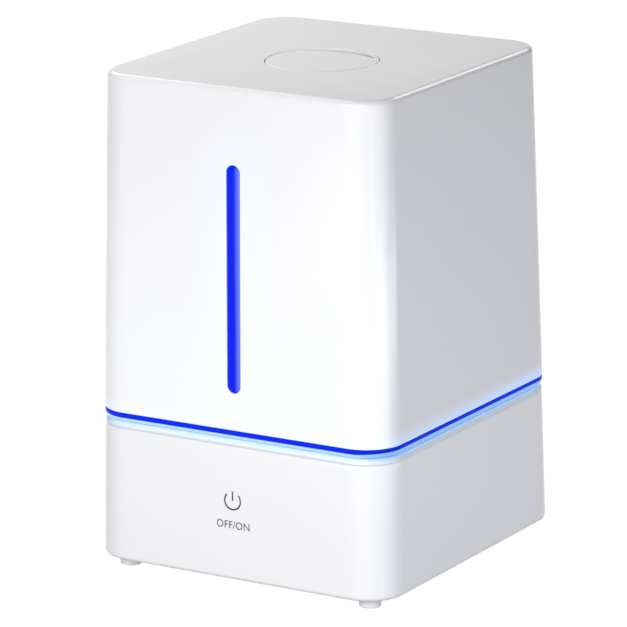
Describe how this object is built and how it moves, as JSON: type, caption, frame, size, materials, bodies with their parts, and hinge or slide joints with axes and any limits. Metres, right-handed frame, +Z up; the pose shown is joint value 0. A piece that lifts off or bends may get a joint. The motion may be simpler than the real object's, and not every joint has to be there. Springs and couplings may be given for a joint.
{
  "type": "cool mist humidifier",
  "caption": "Square tapered table-top cool mist humidifier: lift-off water tank with a lit window slot, lit ring, round mist nozzle and touch control.",
  "frame": {"origin": "centre of the square outline, on the floor under the feet", "axes": "+Z up through the tank; -Y towards the face with the tall window and the touch control; +X to the right of that face as a person facing it sees it"},
  "size_m": [0.187, 0.1942, 0.2765],
  "materials": {
    "white_shell": "glossy moulded white",
    "white_inner": "satin moulded white",
    "white_foot": "soft matt white",
    "lit_blue": "clear glossy, lit blue from inside",
    "clear_guide": "clear polished",
    "clear_tube": "satin translucent",
    "seal_rubber": "soft translucent grey",
    "valve_rubber": "soft black",
    "foam": "fine closed-cell foam",
    "steel": "bright zinc plated",
    "spring_steel": "drawn wire",
    "aluminium": "bare",
    "piezo_metal": "plated disc",
    "copper_winding": "enamelled copper",
    "bronze_sleeve": "sintered",
    "black_plastic": "satin",
    "board_green": "lacquered board",
    "board_white": "lacquered board",
    "led_white": "small lamps",
    "magnet_grey": "sintered magnet"
  },
  "bodies": {
    "base": {"air_duct": "white_inner", "air_hood": "white_inner", "base_gasket": "seal_rubber", "base_housing": "white_shell", "basin_deck": "white_inner", "board_capacitors": "aluminium", "board_coil": "copper_winding", "board_heatsink": "aluminium", "board_screws": "steel", "bottom_cover": "white_inner", "clamp_screws": "steel", "cover_screws": "steel", "dc_inlet": "black_plastic", "driver_board": "board_green", "fan_bearing": "bronze_sleeve", "fan_frame": "black_plastic", "fan_screws": "steel", "fan_stator": "copper_winding", "float_keeper": "white_inner", "float_sensor_board": "board_green", "foot_front_left": "white_foot", "foot_front_right": "white_foot", "foot_rear_left": "white_foot", "foot_rear_right": "white_foot", "light_leds": "led_white", "light_ring": "lit_blue", "light_strip": "board_white", "mist_guide": "white_inner", "touch_board": "board_green", "touch_spring": "spring_steel", "transducer_clamp": "aluminium", "transducer_disc": "piezo_metal", "transducer_seal": "valve_rubber"},
    "float": {"float_body": "foam", "float_magnet": "magnet_grey"},
    "fan_rotor": {"fan_impeller": "black_plastic", "fan_shaft": "steel"},
    "tank": {"tank_shell": "white_shell", "tank_base": "clear_tube", "mist_chimney": "clear_tube", "chimney_seal": "seal_rubber", "window_lens": "lit_blue", "window_gasket": "seal_rubber", "light_pipe": "clear_guide"},
    "tank_cap": {"tank_cap": "white_inner", "cap_gasket": "seal_rubber", "valve_cage": "white_inner", "valve_spring": "spring_steel"},
    "valve": {"valve_stem": "white_inner", "valve_seal": "valve_rubber"},
    "nozzle_base": {"nozzle_base": "white_inner"},
    "nozzle": {"nozzle_cap": "white_shell"}
  },
  "joints": [
    {"name": "tank_lift", "type": "slide", "parent": "base", "child": "tank", "axis": [0, 0, 1], "range_m": [0, 0.12]},
    {"name": "nozzle_lift", "type": "slide", "parent": "tank", "child": "nozzle_base", "axis": [0, 0, 1], "range_m": [0, 0.04]},
    {"name": "nozzle_turn", "type": "hinge", "parent": "nozzle_base", "child": "nozzle", "pos_m": [0, 0, 0.268], "axis": [0, 0, 1], "continuous": true},
    {"name": "cap_turn", "type": "hinge", "parent": "tank", "child": "tank_cap", "pos_m": [-0.042, 0, 0.083], "axis": [0, 0, 1], "range_deg": [0, 40]},
    {"name": "valve_rise", "type": "slide", "parent": "tank_cap", "child": "valve", "axis": [0, 0, 1], "range_m": [0, 0.004], "stiffness_N_per_m": 250, "springref_m": -0.003, "deforming": ["valve_spring"]},
    {"name": "float_rise", "type": "slide", "parent": "base", "child": "float", "axis": [0, 0, 1], "range_m": [0, 0.009]},
    {"name": "fan_spin", "type": "hinge", "parent": "base", "child": "fan_rotor", "pos_m": [0.056, 0, 0.07], "axis": [0, 0, 1], "continuous": true}
  ]
}
